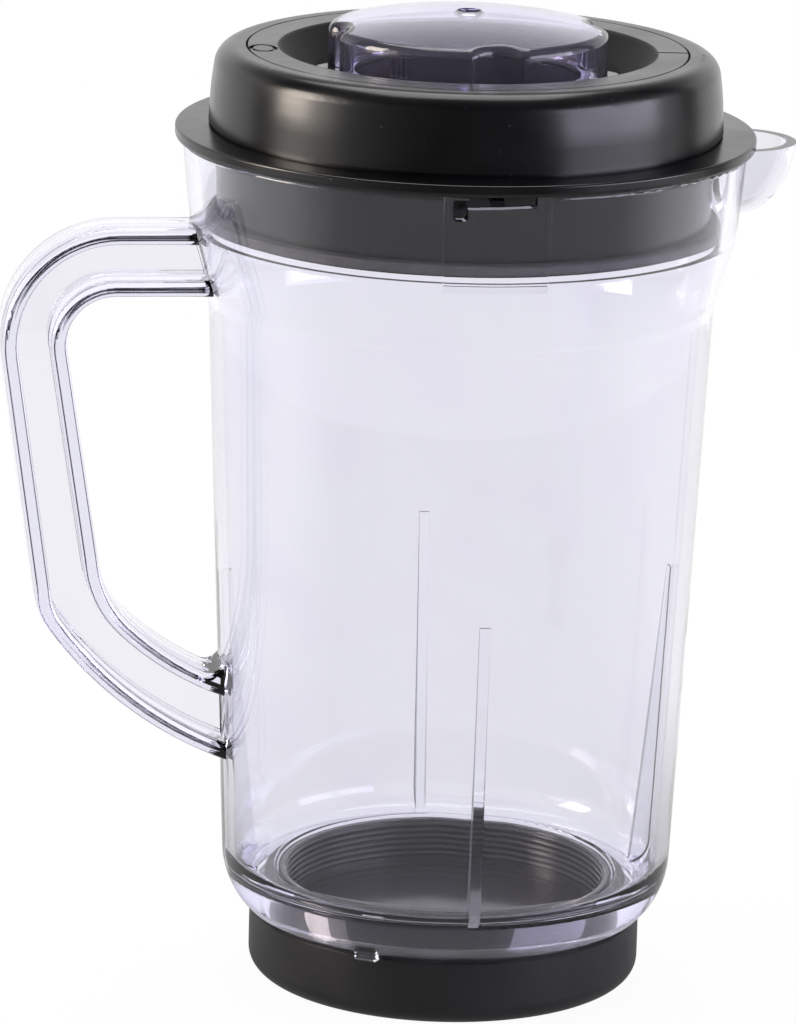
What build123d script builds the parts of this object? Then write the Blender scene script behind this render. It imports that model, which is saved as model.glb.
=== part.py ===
"""Blender jar: clear jar with handle and spout, black lid with a clear filler cap, and a screwed base cap.

Millimetres. +Z is up, the jar's axis is the Z axis, and z = 0 is the underside of the base cap.
The handle is at -X, the spout at +X, and one lid slot faces -Y.
"""
import math
import os

from build123d import *

os.makedirs("parts", exist_ok=True)

# Clearances between pieces
run_gap = 0.4           # between round faces that turn or slide past each other
seat_gap = 0.4          # between the base cap's top edge and the jar
seal_gap = 0.35         # round a soft ring, to the wall that it faces
well_gap = 1.5          # round the filler cap's flange, to the lid's well
peg_gap = 0.25          # between a lid peg and the tongue above it

# Base cap: an outer wall with the screw thread, and a cup that stands up inside the jar's neck
base_radius = 41.0      # outside, the size that the whole object is scaled from
band_height = 13.4      # top of the straight side
band_chamfer = 0.6      # from the side in to the threaded wall
base_height = 14.6      # top of the threaded wall
base_wall = 1.2         # threaded wall above the chamfer
base_edge = 4.0         # rounding of the lower outer edge
base_floor = 6.2        # floor of the channel that takes the neck
cup_floor = 12.8
cup_plate = 2.4         # thickness of the cup's floor
cup_wall = 1.6
cup_below = 0.4         # cup's edge under the jar's floor
cup_edge = 0.6
ring_count = 6          # rounded rings round the cup's inner wall
ring_pitch = 1.3
ring_rise = 0.35
ring_thickness = 1.1
foot_width = 3.2        # ring foot
foot_edge = 0.6         # rounding of the foot and of the hub
hub_radius = 16.0       # flat middle of the underside

# Screw thread between neck and base cap
thread_pitch = 3.6
thread_rise = 0.8
thread_root = 1.5       # width at the root
thread_crest = 0.6      # width at the crest
thread_sink = 0.4       # how deep the ridge is rooted in its wall
thread_start = 0.3      # plain length before the thread
neck_turns = 1.35
cap_turns = 1.0
cap_lead = 0.2          # the cap's thread starts this part of a turn later
neck_wall = 2.6

# Base seal
base_seal_height = 1.8
base_seal_width = 2.4

# Jar body
ledge_over_cap = 1.2    # how far the shoulder's lower edge stands out over the base cap
shoulder_width = 6.0    # body radius at the foot, beyond the base cap
shoulder_height = 11.0
ledge_edge = 0.5
groove_width = 3.0      # ring groove in the underside, round the neck
groove_depth = 3.0
floor_thickness = 7.4
body_height = 120.0
body_spread = 5.1       # growth of the radius up the body
flare_height = 13.4
flare_spread = 4.0
flare_foot_round = 18.0
flare_top_round = 6.0
flare_inner_round = 14.0
rim_height = 18.2
rim_spread = 1.9
rim_edge = 0.8
jar_wall = 2.6
rim_wall = 2.8
lid_ledge = 1.2         # width of the inner step under the lid's skirt
floor_round = 5.0       # inner corner of wall and floor
neck_edge = 1.0         # rounding where the floor turns down into the neck

# Inner fins
fin_thickness = 2.2
fin_depth = 4.8
fin_top_depth = 0.7
fin_height = 64.6
fin_root = 0.8          # how deep a fin is rooted in wall and floor

# Locking lug under the shoulder
lug_width = 5.0
lug_depth = 2.4
lug_height = 4.0
lug_drop = 1.4          # how far the lug hangs below the shoulder
lug_edge = 0.6
lug_turn = -119.6       # direction of the lug, in degrees from +X

# Lid slots in the rim
slot_turn = -1.3        # direction of the slot pad's middle, in degrees from -Y
pad_angle = 21.5
pad_rise = 0.5
pad_edge = 0.35
pad_drop = 20.0
slot_left = -6.0        # ends of the opening, along the rim from the pad's middle
slot_right = 7.6
slot_depth = 2.2
slot_ramp = 0.4         # the opening is this much deeper at its left end
pocket_width = 3.1
pocket_depth = 5.0
tongue = 0.6            # bridge of rim over the pocket

# Spout
spout_radius = 12.7
spout_depth = 15.3
spout_wall = 2.2
spout_set = 2.0         # how far the bowl's middle is inside the rim

# Handle, in the XZ plane: a flat upper arm, a leaning leg and a curved lower arm
handle_width = 14.0
handle_flange = 3.4
handle_web = 3.5
handle_edge = 1.4
arm_top = 160.2
arm_bottom = 146.0
grip_reach = 95.0       # outermost point from the jar's axis
grip_depth = 13.4
outer_round = 23.8
inner_round = 9.7
leg_foot = 82.5         # height where the leg turns into the lower arm
leg_lean = 8.2          # lean of the leg towards its foot, in degrees
leg_taper = 0.7         # the inner edge leans this much more
knee_round = 14.3       # outer curve of the lower arm: a tight turn, then a wide one
knee_turn = 27.4
arm_round = 81.4
arm_turn = 38.0
inner_rise = 7.0        # the inner curve starts this much higher than the outer one
inner_knee_round = 21.3
inner_knee_turn = 37.0
inner_arm_round = 58.3
root_round = 3.0        # corner between the lower arm and the jar's wall
root_sink = 0.7         # how deep that corner is rooted in the wall
root_drop = 12.0        # the corner's root starts this much under the lower arm's end

# Lid
flange_over = 1.5       # flange beyond the jar's rim
flange_thickness = 2.5
flange_fall = 0.4       # slope of the flange's top
lid_wall = 2.0
skirt_gap = 3.8         # skirt to the jar's inner wall, closed by the lid seal
skirt_taper = 0.7
raised_out = 1.3        # raised wall beyond the skirt
raised_height = 16.4
raised_taper = 1.5
raised_bulge = 0.35     # the raised wall swells by this much half way up
raised_curve = 60.0
raised_round = 4.2
waist = 0.5             # fine groove at the foot of the raised wall
ring_line = 0.5         # fine groove round the top ring
ring_line_in = 6.3      # its distance in from the raised wall
mouth_spread = 5.4      # mouth of the well beyond its floor
well_depth = 6.3
well_edge = 1.0
filler_radius = 27.0    # hole for the filler cap
sleeve_length = 7.2
skirt_clear = 0.8       # skirt's foot above the jar's inner ledge
peg_width = 2.4
peg_height = 1.3
peg_reach = 1.0         # how far a peg stops short of the rim's outside
mark_depth = 0.35
mark_width = 0.9
mark_out = 0.4          # marks sit this far outside the middle of the top ring
loop_width = 5.8
loop_length = 8.0
bar_length = 6.4
bar_turn = -6.0         # in degrees from +X

# Lid seal
seal_height = 2.2
seal_foot = 0.7         # thickness of the lip that holds it
seal_bite = 1.3         # depth of its groove in the skirt

# Filler cap
dome_radius = 28.6
dome_rise = 3.55
dome_edge_height = 10.7  # corner of side and top above the well's floor
dome_edge = 1.9         # rounding of that corner, along the flutes too
cap_wall = 2.0
cap_flange = 2.9        # flange beyond the wall
cap_flange_height = 2.0
plug_length = 6.6
flute_count = 4
flute_depth = 3.0
flute_width = 10.5
flute_corner = 2.6
flute_turn = -85.2      # direction of the first flute, in degrees from +X
throat_step = 0.4       # throat inside the flutes' inner wall
dimple_radius = 2.45
dimple_depth = 1.7
dimple_wall = 1.5
grip_ribs = 4
grip_rib_pitch = 1.15
grip_rib_height = 4.0
grip_rib_width = 0.45
grip_rib_rise = 0.35
grip_turn = -130.0      # direction of the first rib, in degrees from +X

# Heights
under_z = base_height + seat_gap
groove_top = under_z + groove_depth
floor_z = under_z + floor_thickness
cup_top = floor_z - cup_below
foot_z = under_z + shoulder_height
top_z = foot_z + body_height
ledge_z = top_z + flare_height
rim_z = ledge_z + rim_height
neck_end = base_floor + base_seal_height

# Radii
base_top_r = base_radius - band_chamfer
cap_inner = base_top_r - base_wall
neck_outer = cap_inner - thread_rise - run_gap
groove_r = neck_outer + groove_width
neck_inner = neck_outer - neck_wall
cup_outer = neck_inner - run_gap
cup_inner = cup_outer - cup_wall
foot_r = base_radius + shoulder_width
top_r = foot_r + body_spread
rim_foot_r = top_r + flare_spread
rim_r = rim_foot_r + rim_spread
wall_slope = body_spread / body_height
cap_flange_r = dome_radius + cap_flange
well_floor_radius = cap_flange_r + well_gap
mouth_radius = well_floor_radius + mouth_spread


def turned(points, rounds=()):
    """A solid of revolution about Z from (radius, height) points, with some corners rounded."""
    outline = make_face(Polyline(*points, close=True))
    for corner, radius in rounds:
        outline = fillet(outline.vertices().sort_by_distance(Vector(*corner, 0))[0], radius)
    return revolve(Plane.XZ * outline, axis=Axis.Z)


def about(shape, degrees):
    """The shape turned about the jar's axis."""
    return Rot(0, 0, degrees) * shape


def thread(radius, start_z, turns, outward):
    """A helical ridge on a round wall, standing outwards or inwards, rooted inside that wall."""
    side = 1 if outward else -1
    foot = thread_root / 2 + (thread_root - thread_crest) / 2 * thread_sink / thread_rise
    ridge = make_face(Polyline(
        (-side * thread_sink, -foot), (side * thread_rise, -thread_crest / 2),
        (side * thread_rise, thread_crest / 2), (-side * thread_sink, foot), close=True))
    ridge = Plane(origin=(radius, 0, 0), x_dir=(1, 0, 0), z_dir=(0, -1, 0)) * ridge
    path = Helix(thread_pitch, thread_pitch * turns, radius)
    return Pos(0, 0, start_z) * sweep(ridge, path=path, is_frenet=True)


# Jar: filled outside first, then its attachments, then the inside is taken out
shoulder_edge = (base_radius + ledge_over_cap, under_z)
side_line = Vector(body_spread, body_height).normalized()
outer_lines = (
    Polyline((0, rim_z), (rim_r, rim_z), (rim_foot_r, ledge_z), (top_r, top_z), (foot_r, foot_z))
    + TangentArc((foot_r, foot_z), shoulder_edge, tangent=(-side_line.X, -side_line.Y))
    + Polyline(shoulder_edge, (groove_r, under_z), (groove_r, groove_top), (neck_outer, groove_top),
               (neck_outer, neck_end), (0, neck_end), (0, rim_z)))
outer_face = make_face(outer_lines.edges())
for corner, radius in (((rim_r, rim_z), rim_edge), ((rim_foot_r, ledge_z), flare_top_round),
                       ((top_r, top_z), flare_foot_round), (shoulder_edge, ledge_edge)):
    outer_face = fillet(outer_face.vertices().sort_by_distance(Vector(*corner, 0))[0], radius)
jar = revolve(Plane.XZ * outer_face, axis=Axis.Z)

# Handle as an I section: the outline at full width, with a pocket in each side
inside_x = -base_radius


def grip_line(arm_z, reach, top_round, lean, foot, knee, wide):
    """One edge of the handle, from the upper arm round the leg and along the lower arm, all tangent."""
    arm = Line((inside_x, arm_z), (top_round - reach, arm_z))
    bend = JernArc(arm @ 1, (-1, 0), top_round, 90 + lean)
    leg = Line(bend @ 1, bend @ 1 + bend % 1 * (((bend @ 1).Y - foot) / math.cos(math.radians(lean))))
    turn = JernArc(leg @ 1, leg % 1, *knee)
    return arm, bend, leg, turn, JernArc(turn @ 1, turn % 1, wide, arm_turn)


def wall_x(z):
    """The jar's wall at the handle's side, drawn in by the root's depth."""
    return root_sink - foot_r - wall_slope * (z - foot_z)


grip_outer = grip_line(arm_top, grip_reach, outer_round, leg_lean, leg_foot, (knee_round, knee_turn), arm_round)
grip_inner = grip_line(arm_bottom, grip_reach - grip_depth, inner_round, leg_lean + leg_taper,
                       leg_foot + inner_rise, (inner_knee_round, inner_knee_turn), inner_arm_round)
handle_lines = Line(grip_inner[0] @ 0, grip_outer[0] @ 0) + Line(grip_outer[-1] @ 1, grip_inner[-1] @ 1)
for piece in grip_outer + grip_inner:
    handle_lines += piece
handle_face = make_face(handle_lines.edges())
root_low, root_high = (grip_inner[-1] @ 1).Y - root_drop, arm_bottom + handle_flange
root_strip = make_face(Polyline((wall_x(root_low), root_low), (wall_x(root_high), root_high),
                                (inside_x, root_high), (inside_x, root_low), close=True))
handle_side = (handle_face + root_strip).faces()[0]
on_wall = handle_side.vertices().filter_by(lambda v: abs(v.X - wall_x(v.Y)) < 0.001 and v.Y > root_low + 0.1)
handle_side = fillet(on_wall.sort_by(Axis.Y)[0], root_round)
handle = extrude(Plane.XZ * handle_side, handle_width / 2, both=True)
pocket = extrude(Plane.XZ * offset(handle_face, -handle_flange), handle_width)
handle -= [Pos(0, -handle_web / 2, 0) * pocket, Pos(0, handle_web / 2 + handle_width, 0) * pocket]
side_edges = handle.edges().filter_by(
    lambda e: abs(abs(e.center().Y) - handle_width / 2) < 0.01 and e.center().X < -foot_r)
handle = fillet(side_edges, handle_edge)
jar += handle

# Spout: a bowl about an upright axis just inside the rim
spout_x = rim_r - spout_set


def bowl(radius, depth, top):
    """A rounded bowl under a flat top, on the spout's upright axis: a ball below and a tangent side."""
    ball = radius ** 2 / depth
    low, mid = (Vector(ball * math.sin(t), ball - depth - ball * math.cos(t)) for t in (0.9, 0.45))
    side = TangentArc(low, (radius, 0), tangent=(math.cos(0.9), math.sin(0.9)))
    curve = ThreePointArc((0, -depth), mid, low) + side
    sides = [(radius, 0), (radius, top), (0, top), (0, -depth)] if top else [(radius, 0), (0, 0), (0, -depth)]
    outline = make_face((curve + Polyline(*sides)).edges())
    return Pos(spout_x, 0, rim_z) * revolve(Plane.XZ * outline, axis=Axis.Z)


jar += bowl(spout_radius, spout_depth, 0)

# Slot pads on the rim
pad_face = make_face(Polyline(
    (rim_r - 1.5, rim_z), (rim_r + pad_rise, rim_z), (rim_foot_r + pad_rise, ledge_z),
    (rim_foot_r - 1.2, rim_z - pad_drop - 1.2), (rim_foot_r - 2.2, ledge_z), close=True))
pad = revolve(Plane.XZ * pad_face, axis=Axis.Z, revolution_arc=pad_angle)
pad_sides = pad.edges().filter_by(GeomType.LINE).filter_by(
    lambda e: math.hypot(e.center().X, e.center().Y) > rim_foot_r + pad_rise and e.length > rim_height / 2)
pad = fillet(pad_sides, pad_edge)
pad = about(pad, slot_turn - 90 - pad_angle / 2)
jar += [pad, about(pad, 180)]

# Lug
lug = Pos(base_radius + run_gap + lug_depth / 2, 0, under_z - lug_drop + lug_height / 2) \
    * Box(lug_depth, lug_width, lug_height)
jar += about(fillet(lug.edges(), lug_edge), lug_turn)

# Neck thread
neck_thread_z = neck_end + thread_root / 2 + thread_start
jar += thread(neck_outer, neck_thread_z, neck_turns, True)

# Inside
recess_foot = rim_foot_r - rim_wall
recess_lean = rim_spread / rim_height
floor_r = foot_r - jar_wall - wall_slope * (foot_z - floor_z)
cavity = turned(
    [(0, neck_end - 5), (neck_inner, neck_end - 5), (neck_inner, floor_z), (floor_r, floor_z),
     (top_r - jar_wall, top_z), (recess_foot - lid_ledge, ledge_z),
     (recess_foot, ledge_z), (recess_foot + recess_lean * (rim_height + 5), rim_z + 5), (0, rim_z + 5)],
    [((neck_inner, floor_z), neck_edge), ((floor_r, floor_z), floor_round),
     ((top_r - jar_wall, top_z), flare_inner_round)])
jar -= cavity
jar -= bowl(spout_radius - spout_wall, spout_depth - spout_wall, 5)

# Slots: an opening from the top with a pocket under a thin tongue at its left end
slot_face = make_face(Polyline(
    (slot_right, rim_z + 3), (slot_right, rim_z - slot_depth), (slot_left, rim_z - slot_depth - slot_ramp),
    (slot_left, rim_z - pocket_depth), (slot_left - pocket_width, rim_z - pocket_depth),
    (slot_left - pocket_width, rim_z - tongue), (slot_left, rim_z - tongue), (slot_left, rim_z + 3),
    close=True))
for corner in ((slot_left, rim_z - pocket_depth), (slot_left - pocket_width, rim_z - pocket_depth)):
    slot_face = fillet(slot_face.vertices().sort_by_distance(Vector(*corner, 0))[0], pocket_width * 0.35)
slot = Pos(0, -(recess_foot - 1), 0) * extrude(Plane.XZ * slot_face, rim_wall + rim_spread + 6)
jar -= [about(slot, slot_turn), about(slot, slot_turn + 180)]

# Fins inside the wall, standing on the floor
fin_foot_r = floor_r - fin_depth
fin_top_r = floor_r + wall_slope * fin_height
fin_face = make_face(Polyline(
    (fin_foot_r, floor_z - fin_root), (floor_r, floor_z - fin_root), (floor_r + fin_root, floor_z),
    (fin_top_r + fin_root, floor_z + fin_height), (fin_top_r - fin_top_depth, floor_z + fin_height), close=True))
fin = extrude(Plane.XZ * fin_face, fin_thickness / 2, both=True)
jar += [about(fin, 90 * i) for i in range(4)]

# Base cap
foot_inner = base_radius - base_edge - foot_width
relief_top = cup_floor - cup_plate
base_cap = turned(
    [(0, 0), (hub_radius, 0), (hub_radius, relief_top), (foot_inner, relief_top), (foot_inner, 0),
     (base_radius, 0), (base_radius, band_height), (base_top_r, band_height + band_chamfer),
     (base_top_r, base_height), (cap_inner, base_height), (cap_inner, base_floor), (cup_outer, base_floor),
     (cup_outer, cup_top), (cup_inner, cup_top), (cup_inner, cup_floor), (0, cup_floor)],
    [((base_radius, 0), base_edge), ((hub_radius, 0), foot_edge), ((foot_inner, 0), foot_edge),
     ((cup_inner, cup_top), cup_edge)])
cap_thread_z = neck_thread_z - thread_pitch / 2 + thread_pitch * cap_lead
base_cap += about(thread(cap_inner, cap_thread_z, cap_turns, False), 360 * cap_lead)
ring = Torus(cup_inner - ring_rise + ring_thickness / 2, ring_thickness / 2)
first_ring = cup_top - cup_edge - ring_thickness / 2
base_cap += [Pos(0, 0, first_ring - ring_pitch * i) * ring for i in range(ring_count)]

# Base seal
seal_outer = neck_outer
base_seal = turned(
    [(seal_outer - base_seal_width, base_floor), (seal_outer, base_floor), (seal_outer, neck_end),
     (seal_outer - base_seal_width, neck_end)])

# Lid
recess_top = recess_foot + rim_spread
skirt_top = recess_top - skirt_gap
skirt_foot = skirt_top - skirt_taper
skirt_z = ledge_z + skirt_clear
flange_top = rim_z + flange_thickness
flange_r = rim_r + flange_over
raised_r = skirt_top + raised_out
lid_top = flange_top + raised_height
well_z = lid_top - well_depth
groove_z = skirt_z + seal_foot
raised_top = raised_r - raised_taper
raised_foot = flange_top + flange_fall + waist
swell = ((raised_r + raised_top) / 2 + raised_bulge, (raised_foot + lid_top) / 2)
line_r = raised_top - ring_line_in
sleeve_z = well_z - lid_wall - sleeve_length
lid = turned(
    [(skirt_foot - lid_wall, skirt_z), (skirt_foot, skirt_z), (skirt_foot, groove_z),
     (skirt_foot - seal_bite, groove_z), (skirt_foot - seal_bite, groove_z + seal_height),
     (skirt_foot, groove_z + seal_height), (skirt_top, rim_z), (flange_r, rim_z), (flange_r, flange_top),
     (raised_r - waist, flange_top + flange_fall), (raised_r - waist, raised_foot),
     (raised_r, raised_foot), swell, (raised_top, lid_top),
     (line_r + ring_line, lid_top), (line_r + ring_line / 2, lid_top - ring_line), (line_r, lid_top),
     (mouth_radius, lid_top), (well_floor_radius, well_z), (filler_radius, well_z), (filler_radius, sleeve_z),
     (filler_radius + lid_wall, sleeve_z), (filler_radius + lid_wall, well_z - lid_wall),
     (well_floor_radius, well_z - lid_wall), (mouth_radius - 0.6, lid_top - lid_wall),
     (raised_top - lid_wall, lid_top - lid_wall), (raised_r - waist - lid_wall, flange_top),
     (skirt_top - lid_wall, rim_z), (skirt_foot - seal_bite - lid_wall, groove_z + seal_height),
     (skirt_foot - seal_bite - lid_wall, skirt_z)],
    [((raised_top, lid_top), raised_round), (swell, raised_curve), ((flange_r, rim_z), 0.9), ((flange_r, flange_top), 0.5),
     ((mouth_radius, lid_top), 0.8), ((raised_top - lid_wall, lid_top - lid_wall), raised_round - lid_wall),
     ((well_floor_radius, well_z), well_edge)])
peg_out = rim_r - peg_reach - (skirt_top - lid_wall / 2)
peg_top = rim_z - tongue - peg_gap
peg = Pos(skirt_top - lid_wall / 2 + peg_out / 2, 0, peg_top - peg_height / 2) \
    * Box(peg_out, peg_width, peg_height)
lid += [about(peg, slot_turn - 90), about(peg, slot_turn + 90)]

# Marks cut in the top ring: an open loop at the handle's side and a bar at the spout's side
mark_r = (mouth_radius + line_r) / 2 + mark_out
loop = Ellipse(loop_width / 2, loop_length / 2) \
    - Ellipse(loop_width / 2 - mark_width, loop_length / 2 - mark_width)
bar = Rectangle(bar_length, mark_width)
lid -= Pos(-mark_r, 0, lid_top - mark_depth) * extrude(loop, 2 * mark_depth)
lid -= about(Pos(mark_r, 0, lid_top - mark_depth) * extrude(bar, 2 * mark_depth), bar_turn)

# Lid seal
recess_at_seal = recess_foot + recess_lean * (groove_z - ledge_z)
seal_in = skirt_foot - seal_bite + seal_gap
seal_out = recess_at_seal - seal_gap
seal_top = groove_z + seal_height
lid_seal = turned(
    [(seal_in, groove_z), (seal_out, groove_z), (seal_out, seal_top), (seal_in, seal_top)],
    [((seal_out, groove_z), 0.5), ((seal_out, seal_top), 0.5)])

# Filler cap: the outside and the hollow take the same flutes, so the wall follows them
edge_z = well_z + dome_edge_height
dome_top = edge_z + dome_rise
plug_r = filler_radius - run_gap
flange_z = well_z + cap_flange_height
dome_ball = (dome_radius ** 2 + dome_rise ** 2) / (2 * dome_rise)
flute_ball = (flute_width ** 2 / 4 + flute_depth ** 2) / (2 * flute_depth)
flute_at = dome_radius - flute_depth + flute_ball


def column(inset):
    """A fluted column under a flat ball-shaped top, drawn in by inset on every side."""
    plan = Circle(dome_radius - inset)
    for i in range(flute_count):
        plan -= about(Pos(flute_at, 0) * Circle(flute_ball + inset), flute_turn + 360 / flute_count * i)
    plan = fillet(plan.vertices(), max(flute_corner - inset, 0.4))
    body = Pos(0, 0, flange_z) * extrude(plan, dome_top - flange_z)
    return body & Pos(0, 0, dome_top - dome_ball) * Sphere(dome_ball - inset)


shell = column(0)
shell = fillet(shell.faces().sort_by(Axis.Z)[-1].edges(), dome_edge)
dimple_ball = (dimple_radius ** 2 + dimple_depth ** 2) / (2 * dimple_depth)
dimple_at = Pos(0, 0, dome_top - dimple_depth + dimple_ball)
boss = shell & dimple_at * Sphere(dimple_ball + dimple_wall)
filler_cap = shell + turned(
    [(0, well_z - plug_length), (plug_r, well_z - plug_length), (plug_r, well_z), (cap_flange_r, well_z),
     (cap_flange_r, flange_z), (0, flange_z)],
    [((cap_flange_r, flange_z), 0.8), ((plug_r, well_z - plug_length), 0.6)])
filler_cap -= column(cap_wall)
throat = min(dome_radius - flute_depth - cap_wall - throat_step, plug_r - cap_wall)
throat_cut = Cylinder(throat, plug_length + cap_flange_height + 2 * throat_step,
                      align=(Align.CENTER, Align.CENTER, Align.MIN))
filler_cap -= Pos(0, 0, well_z - plug_length - throat_step) * throat_cut
filler_cap += boss
filler_cap -= dimple_at * Sphere(dimple_ball)
rib = Pos(dome_radius, 0, edge_z - dome_edge - grip_rib_height / 2) \
    * Box(2 * grip_rib_rise, grip_rib_width, grip_rib_height)
rib_step = math.degrees(grip_rib_pitch / dome_radius)
filler_cap += [about(rib, grip_turn + rib_step * i) for i in range(grip_ribs)]

for name, shape in (("jar", jar), ("lid", lid), ("lid_seal", lid_seal), ("filler_cap", filler_cap),
                    ("base_cap", base_cap), ("base_seal", base_seal)):
    export_step(shape, f"parts/{name}.step")
    box = shape.bounding_box()
    print(name, len(shape.solids()), round(shape.volume), tuple(box.min), tuple(box.max))
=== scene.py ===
import math

import bpy
import numpy as np
from mathutils import Matrix, Vector

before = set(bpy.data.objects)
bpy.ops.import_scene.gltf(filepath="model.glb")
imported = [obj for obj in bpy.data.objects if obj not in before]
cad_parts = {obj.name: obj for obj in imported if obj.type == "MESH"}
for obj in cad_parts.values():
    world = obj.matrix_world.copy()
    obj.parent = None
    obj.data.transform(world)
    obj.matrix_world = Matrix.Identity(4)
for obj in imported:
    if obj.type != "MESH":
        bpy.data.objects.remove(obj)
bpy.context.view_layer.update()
print("frame loaded:", ", ".join(sorted(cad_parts)))


# hexColour: sRGB hex to linear colour
def hexColour(code):
    parts = np.array([int(code[i:i + 2], 16) for i in (1, 3, 5)]) / 255.0
    linear = np.where(parts <= 0.04045, parts / 12.92, ((parts + 0.055) / 1.055) ** 2.4)
    return (*linear.tolist(), 1.0)


# addNode: a node with its properties set, its sockets set to a constant or linked to an output
def addNode(tree, kind, sockets=None, **settings):
    node = tree.nodes.new(kind)
    for key, value in settings.items():
        setattr(node, key, value)
    for key, value in (sockets or {}).items():
        if isinstance(value, bpy.types.NodeSocket):
            tree.links.new(value, node.inputs[key])
        else:
            node.inputs[key].default_value = value
    return node


def emptyMaterial(name):
    material = bpy.data.materials.new(name)
    material.use_nodes = True
    material.node_tree.nodes.clear()
    return material, material.node_tree


# grain: noise in object space, its size in mm, with the part of it within sharp spread from low to high
def grain(tree, size, low, high, detail=3.0, sharp=(0.35, 0.65)):
    place = addNode(tree, "ShaderNodeTexCoord")
    noise = addNode(tree, "ShaderNodeTexNoise", {
        "Vector": place.outputs["Object"], "Scale": 1000.0 / size, "Detail": detail})
    return addNode(tree, "ShaderNodeMapRange", {
        "Value": noise.outputs["Fac"], "From Min": sharp[0], "From Max": sharp[1],
        "To Min": low, "To Max": high}).outputs[0]


# relief: height in mm as a bump
def relief(tree, height, depth, strength):
    return addNode(tree, "ShaderNodeBump", {
        "Height": height, "Distance": depth / 1000.0, "Strength": strength}).outputs[0]


# tone: one colour going over into another by a factor, each a hex code or a socket
def tone(tree, factor, first, second):
    first, second = (hexColour(colour) if isinstance(colour, str) else colour for colour in (first, second))
    return addNode(tree, "ShaderNodeMix", {0: factor, 6: first, 7: second}, data_type="RGBA").outputs[2]


# within: 1 inside an upright cylinder about the axis, above a level, both in mm, with a soft edge
def within(tree, radius, level, soft=0.4):
    place = addNode(tree, "ShaderNodeTexCoord")
    flat = addNode(tree, "ShaderNodeVectorMath", {
        0: place.outputs["Object"], 1: (1, 1, 0)}, operation="MULTIPLY")
    reach = addNode(tree, "ShaderNodeVectorMath", {0: flat.outputs[0]}, operation="LENGTH")
    inside = addNode(tree, "ShaderNodeMapRange", {
        "Value": reach.outputs["Value"], "From Min": (radius + soft) / 1000, "From Max": radius / 1000})
    split = addNode(tree, "ShaderNodeSeparateXYZ", {0: place.outputs["Object"]})
    above = addNode(tree, "ShaderNodeMapRange", {
        "Value": split.outputs["Z"], "From Min": (level - soft) / 1000, "From Max": level / 1000})
    return addNode(tree, "ShaderNodeMath", {
        0: inside.outputs[0], 1: above.outputs[0]}, operation="MULTIPLY").outputs[0]


# blendFrom: one value going over into another by a factor, each a constant or a socket
def blendFrom(tree, factor, first, second):
    return addNode(tree, "ShaderNodeMix", {0: factor, 2: first, 3: second}, data_type="FLOAT").outputs[0]


clearLook = {
    "tint": "#F6F6FA", "haze": "#F2F1F7", "ior": 1.5, "clear": 1.0, "absorb": "#B0A8EC", "density": 14.0,
    "smooth": 0.0, "handled": 0.03, "hazeSize": 24.0, "hazeFrom": (0.52, 0.8),
    "flow": 0.006, "flowStrength": 0.5,
}
domeLook = dict(clearLook, tint="#F6F4FD", haze="#ECE9F8", absorb="#A79CF4", density=40.0, clear=0.98)


# Styrene acrylonitrile, moulded in a polished tool: clear, with a violet cast where the wall is seen edge on.
# Slow noise dulls the polish in patches where hands and sponges go, and its faint relief bends what is behind.
def clearPlastic(name, look):
    material, tree = emptyMaterial(name)
    handled = grain(tree, look["hazeSize"], 0.0, 1.0, detail=1.0, sharp=look["hazeFrom"])
    polish = addNode(tree, "ShaderNodeMapRange", {
        "Value": handled, "To Min": look["smooth"], "To Max": look["handled"]})
    shader = addNode(tree, "ShaderNodeBsdfPrincipled", {
        "Base Color": tone(tree, handled, look["tint"], look["haze"]), "Roughness": polish.outputs[0],
        "IOR": look["ior"], "Transmission Weight": look["clear"],
        "Normal": relief(tree, handled, look["flow"], look["flowStrength"])})
    absorb = addNode(tree, "ShaderNodeVolumeAbsorption", {
        "Color": hexColour(look["absorb"]), "Density": look["density"]})
    addNode(tree, "ShaderNodeOutputMaterial", {"Surface": shader.outputs[0], "Volume": absorb.outputs[0]})
    return material


glossLook = {
    "colour": "#08080A", "rubbed": "#0D0D10", "ior": 1.48, "polish": 0.21, "worn": 0.27, "wearSize": 15.0,
    "sink": 0.012, "sinkSize": 30.0, "sinkStrength": 0.6,
    "dust": "#3B393C", "dustSize": 1.1, "dustFrom": (0.76, 0.82),
    "well": 0.62, "wellRadius": 38.6, "wellLevel": 185.0,
}


# ABS moulded in a polished tool: black and mirror-like with soft edges, and dull in the well.
# Slow noise dulls the polish in patches, sparse fine grain is dust, and a slow relief makes highlights waver.
def glossBlack():
    material, tree = emptyMaterial("gloss black ABS")
    worn = grain(tree, glossLook["wearSize"], 0.0, 1.0)
    dust = grain(tree, glossLook["dustSize"], 0.0, 1.0, detail=1.0, sharp=glossLook["dustFrom"])
    body = tone(tree, worn, glossLook["colour"], glossLook["rubbed"])
    waver = grain(tree, glossLook["sinkSize"], 0.0, 1.0, detail=1.0)
    polish = grain(tree, glossLook["wearSize"], glossLook["polish"], glossLook["worn"])
    well = within(tree, glossLook["wellRadius"], glossLook["wellLevel"])
    shader = addNode(tree, "ShaderNodeBsdfPrincipled", {
        "Base Color": tone(tree, dust, body, glossLook["dust"]), "IOR": glossLook["ior"],
        "Normal": relief(tree, waver, glossLook["sink"], glossLook["sinkStrength"]),
        "Roughness": blendFrom(tree, well, polish, glossLook["well"])})
    addNode(tree, "ShaderNodeOutputMaterial", {"Surface": shader.outputs[0]})
    return material


satinLook = {
    "colour": "#0F0D11", "rubbed": "#161418", "ior": 1.47, "roughness": 0.36, "worn": 0.48, "wearSize": 18.0,
    "spark": 0.02, "sparkSize": 0.9, "sparkStrength": 0.5,
    # the cup's grey is painted reflection in place of highlights on its polished rings, not the plastic's own
    # colour
    "cup": 0.14, "cupPaintedReflection": "#48464B", "cupRadius": 34.4, "cupLevel": 12.0,
}
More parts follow.
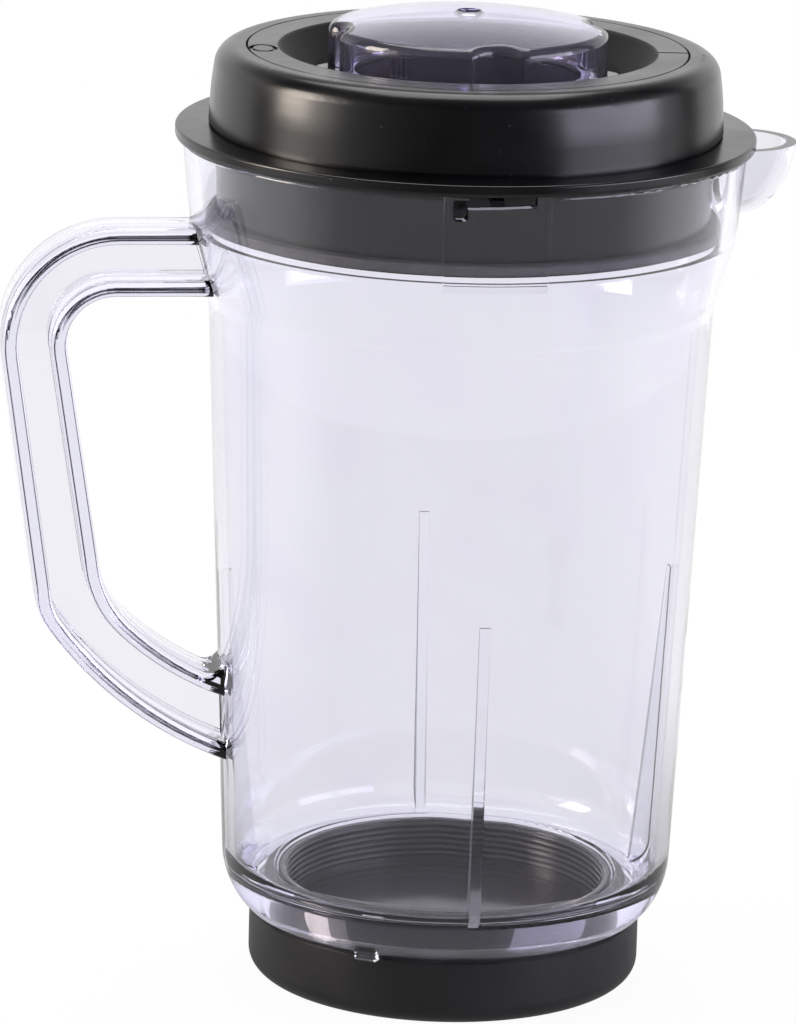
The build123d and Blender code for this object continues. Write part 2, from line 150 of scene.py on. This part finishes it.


# Polypropylene from a fine spark-eroded tool: black with a broad dull sheen, and polished in the cup, whose
# lighter grey is painted reflection standing in for highlights on its rings.
# Fine relief is the eroded grain, and slow noise varies colour and dullness as handling does.
def satinBlack():
    material, tree = emptyMaterial("satin black PP")
    worn = grain(tree, satinLook["wearSize"], 0.0, 1.0)
    cup = within(tree, satinLook["cupRadius"], satinLook["cupLevel"])
    eroded = grain(tree, satinLook["sparkSize"], 0.0, 1.0)
    strength = blendFrom(tree, cup, satinLook["sparkStrength"], 0.0)
    outside = tone(tree, worn, satinLook["colour"], satinLook["rubbed"])
    dullness = grain(tree, satinLook["wearSize"], satinLook["roughness"], satinLook["worn"])
    shader = addNode(tree, "ShaderNodeBsdfPrincipled", {
        # inside the cup the base colour is painted reflection: a lighter grey in place of highlights on its
        # rings
        "Base Color": tone(tree, cup, outside, satinLook["cupPaintedReflection"]), "IOR": satinLook["ior"],
        "Normal": relief(tree, eroded, satinLook["spark"], strength),
        "Roughness": blendFrom(tree, cup, dullness, satinLook["cup"])})
    addNode(tree, "ShaderNodeOutputMaterial", {"Surface": shader.outputs[0]})
    return material


sealLook = {
    "colour": "#545356", "pale": "#656368", "ior": 1.41, "roughness": 0.46, "worn": 0.58, "mottleSize": 5.0,
}


# Pressed silicone: dark grey, smooth and dull, with a faint mottle of absorbed oil
def sealRubber():
    material, tree = emptyMaterial("grey silicone")
    mottle = grain(tree, sealLook["mottleSize"], 0.0, 1.0)
    shader = addNode(tree, "ShaderNodeBsdfPrincipled", {
        "Base Color": tone(tree, mottle, sealLook["colour"], sealLook["pale"]), "IOR": sealLook["ior"],
        "Roughness": grain(tree, sealLook["mottleSize"], sealLook["roughness"], sealLook["worn"])})
    addNode(tree, "ShaderNodeOutputMaterial", {"Surface": shader.outputs[0]})
    return material


finishes = {
    "jar": clearPlastic("clear moulded SAN", clearLook), "lid": glossBlack(), "base_cap": satinBlack(),
    "filler_cap": clearPlastic("violet clear SAN", domeLook), "lid_seal": sealRubber(),
}
finishes["base_seal"] = finishes["lid_seal"]
for name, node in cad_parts.items():
    node.data.materials.clear()
    node.data.materials.append(finishes[name])
print("finishes set on", len(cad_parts), "nodes")


# angles in degrees, lengths in m, and the frame's focal length and optical centre in pixels
view = {
    "azimuth": -8.2, "elevation": 14.464, "roll": 1.643, "distance": 1.352, "target": (0, 0, 0.1),
    "focalPixels": 6510.0, "centrePixels": (455.1, 506.3), "framePixels": (796, 1024),
    "sensor": 36.0, "clip": 0.01,
}


# towards: direction by azimuth from -Y towards +X, and elevation
def towards(azimuth, elevation):
    a, e = math.radians(azimuth), math.radians(elevation)
    return Vector((math.sin(a) * math.cos(e), -math.cos(a) * math.cos(e), math.sin(e)))


# camera axes from azimuth and elevation, then turned by the roll about the line of sight
def setCamera():
    a, r = math.radians(view["azimuth"]), math.radians(view["roll"])
    back = towards(view["azimuth"], view["elevation"])
    right = Vector((math.cos(a), math.sin(a), 0))
    up = back.cross(right)
    across = right * math.cos(r) + up * math.sin(r)
    upright = up * math.cos(r) - right * math.sin(r)
    camera = bpy.data.objects.new("camera", bpy.data.cameras.new("camera"))
    bpy.context.scene.collection.objects.link(camera)
    place = Matrix((across, upright, back)).transposed().to_4x4()
    place.translation = Vector(view["target"]) + back * view["distance"]
    camera.matrix_world = place
    wide, high = view["framePixels"]
    longest = max(wide, high)
    camera.data.sensor_width = view["sensor"]
    camera.data.lens = view["focalPixels"] / longest * view["sensor"]
    camera.data.shift_x = -(view["centrePixels"][0] - wide / 2) / longest
    camera.data.shift_y = (view["centrePixels"][1] - high / 2) / longest
    camera.data.clip_start = view["clip"]
    bpy.context.scene.camera = camera


# angles in degrees, lengths in m, power in W
lampAim = (0, 0, 0.11)
lampRig = {
    "keyLeft": {"azimuth": -90, "elevation": 16, "distance": 1.3,
                "size": (0.4, 0.7), "power": 11.0, "colour": "#FFF1E2"},
    "washLeft": {"azimuth": -80, "elevation": 13, "distance": 1.35,
                 "size": (0.55, 0.7), "power": 3.0, "colour": "#FFF6EC"},
    "fillRight": {"azimuth": 60, "elevation": 11, "distance": 1.5,
                  "size": (1.4, 0.7), "power": 16.0, "colour": "#EFEAFF"},
    "overhead": {"azimuth": 180, "elevation": 72, "distance": 1.4,
                 "size": (1.0, 1.0), "power": 12.0, "colour": "#FFFFFF"},
}


def setLamps():
    for name, lamp in lampRig.items():
        light = bpy.data.lights.new(name, "AREA")
        light.shape = "RECTANGLE"
        light.size, light.size_y = lamp["size"]
        light.energy = lamp["power"]
        light.color = hexColour(lamp["colour"])[:3]
        holder = bpy.data.objects.new(name, light)
        bpy.context.scene.collection.objects.link(holder)
        away = towards(lamp["azimuth"], lamp["elevation"])
        holder.location = Vector(lampAim) + away * lamp["distance"]
        holder.rotation_euler = away.to_track_quat("Z", "Y").to_euler()


# seenBy: 1 for light on its way to the eye, straight or through clear walls
def seenBy(tree, path):
    through = addNode(tree, "ShaderNodeMath", {
        0: path.outputs["Is Camera Ray"], 1: path.outputs["Is Transmission Ray"]}, operation="MAXIMUM")
    return through.outputs[0]


# reflected: 1 for light that was reflected more than a number of times, inside a clear wall or on a surface
def reflected(tree, path, times=0):
    return addNode(tree, "ShaderNodeMath", {
        0: path.outputs["Glossy Depth"], 1: times + 0.5}, operation="GREATER_THAN").outputs[0]


# greyRamp: brightness at stops over -1 to 1
def greyRamp(tree, value, stops):
    share = addNode(tree, "ShaderNodeMapRange", {"Value": value, "From Min": -1.0, "From Max": 1.0})
    ramp = addNode(tree, "ShaderNodeValToRGB", {0: share.outputs[0]})
    steps = ramp.color_ramp.elements
    while len(steps) < len(stops):
        steps.new(0.5)
    for step, (place, grey) in zip(steps, stops):
        step.position = (place + 1) / 2
        step.color = (grey, grey, grey, 1)
    return ramp.outputs[0]


# Brightness of the room: white to the eye, fill on dull surfaces, and by direction in reflections.
# Studio runs from front (-1) to back (1) on a surface, less by height (Z) and when it is reflected again;
# inner does so for light that left a clear wall again after a reflection inside it.
roomLook = {
    "colour": "#FFFFFF", "white": 1.0, "fill": 0.45, "again": 0.3,
    "studio": ((-0.9, 0.1), (-0.64, 0.3), (-0.26, 0.9), (0.18, 0.9), (0.24, 0.15), (0.42, 0.15), (0.5, 1.0)),
    "height": ((-1.0, 1.0), (0.32, 1.0), (0.6, 0.2), (1.0, 0.2)),
    "inner": ((-0.9, 0.85), (-0.4, 1.0), (0.0, 1.3), (1.0, 1.2)),
}


def setRoom():
    world = bpy.data.worlds.new("studio")
    bpy.context.scene.world = world
    world.use_nodes = True
    tree = world.node_tree
    tree.nodes.clear()
    path = addNode(tree, "ShaderNodeLightPath")
    way = addNode(tree, "ShaderNodeTexCoord")
    split = addNode(tree, "ShaderNodeSeparateXYZ", {0: way.outputs["Generated"]})
    plain = blendFrom(tree, seenBy(tree, path), roomLook["fill"], roomLook["white"])
    dim = blendFrom(tree, reflected(tree, path, 1), 1.0, roomLook["again"])
    walls = addNode(tree, "ShaderNodeMath", {
        0: greyRamp(tree, split.outputs["Y"], roomLook["studio"]), 1: dim}, operation="MULTIPLY")
    surface = addNode(tree, "ShaderNodeMath", {
        0: walls.outputs[0], 1: greyRamp(tree, split.outputs["Z"], roomLook["height"])}, operation="MULTIPLY")
    inner = greyRamp(tree, split.outputs["Y"], roomLook["inner"])
    mirrored = blendFrom(tree, path.outputs["Is Transmission Ray"], surface.outputs[0], inner)
    strength = blendFrom(tree, reflected(tree, path), plain, mirrored)
    light = addNode(tree, "ShaderNodeBackground", {
        "Color": hexColour(roomLook["colour"]), "Strength": strength})
    addNode(tree, "ShaderNodeOutputWorld", {"Surface": light.outputs[0]})


# White paper that keeps a share of its shadow. Reflections find it at nearShine in front of the object,
# going over to white from shineFrom to shineTo, in m to the side, where a step back counts backStep times.
floorLook = {
    "paper": "#FFFFFF", "fibre": "#FAFAFA", "fibreSize": 2.5, "white": 1.0, "shadow": 0.05,
    "radius": 0.6, "sides": 96, "nearShine": 0.4, "shineFrom": 0.05, "shineTo": 0.4, "backStep": 1.5,
}


def setFloor():
    material, tree = emptyMaterial("white paper")
    path = addNode(tree, "ShaderNodeLightPath")
    seen = addNode(tree, "ShaderNodeMath", {
        0: seenBy(tree, path), 1: path.outputs["Is Glossy Ray"]}, operation="MAXIMUM")
    share = addNode(tree, "ShaderNodeMath", {
        0: seen.outputs[0], 1: 1.0 - floorLook["shadow"]}, operation="MULTIPLY")
    place = addNode(tree, "ShaderNodeTexCoord")
    split = addNode(tree, "ShaderNodeSeparateXYZ", {0: place.outputs["Object"]})
    aside = addNode(tree, "ShaderNodeMath", {0: split.outputs["X"]}, operation="ABSOLUTE")
    away = addNode(tree, "ShaderNodeMath", {
        0: split.outputs["Y"], 1: floorLook["backStep"], 2: aside.outputs[0]}, operation="MULTIPLY_ADD")
    sheen = addNode(tree, "ShaderNodeMapRange", {
        "Value": away.outputs[0], "From Min": floorLook["shineFrom"], "From Max": floorLook["shineTo"],
        "To Min": floorLook["nearShine"], "To Max": floorLook["white"]})
    shine = blendFrom(tree, reflected(tree, path), floorLook["white"], sheen.outputs[0])
    fibre = grain(tree, floorLook["fibreSize"], 0.0, 1.0, detail=1.0)
    paper = addNode(tree, "ShaderNodeBsdfDiffuse", {
        "Color": tone(tree, fibre, floorLook["paper"], floorLook["fibre"])})
    glow = addNode(tree, "ShaderNodeEmission", {"Strength": shine})
    mixed = addNode(tree, "ShaderNodeMixShader", {0: share.outputs[0], 1: paper.outputs[0], 2: glow.outputs[0]})
    addNode(tree, "ShaderNodeOutputMaterial", {"Surface": mixed.outputs[0]})
    angles = np.linspace(0, 2 * np.pi, floorLook["sides"], endpoint=False)
    ring = np.stack([np.cos(angles), np.sin(angles), 0 * angles], 1) * floorLook["radius"]
    mesh = bpy.data.meshes.new("floor")
    mesh.from_pydata(ring.tolist(), [], [list(range(len(ring)))])
    mesh.materials.append(material)
    floor = bpy.data.objects.new("floor", mesh)
    bpy.context.scene.collection.objects.link(floor)


setCamera()
setLamps()
setRoom()
setFloor()
bpy.context.scene.view_settings.view_transform = "Standard"
print("camera, lamps, room and floor set")
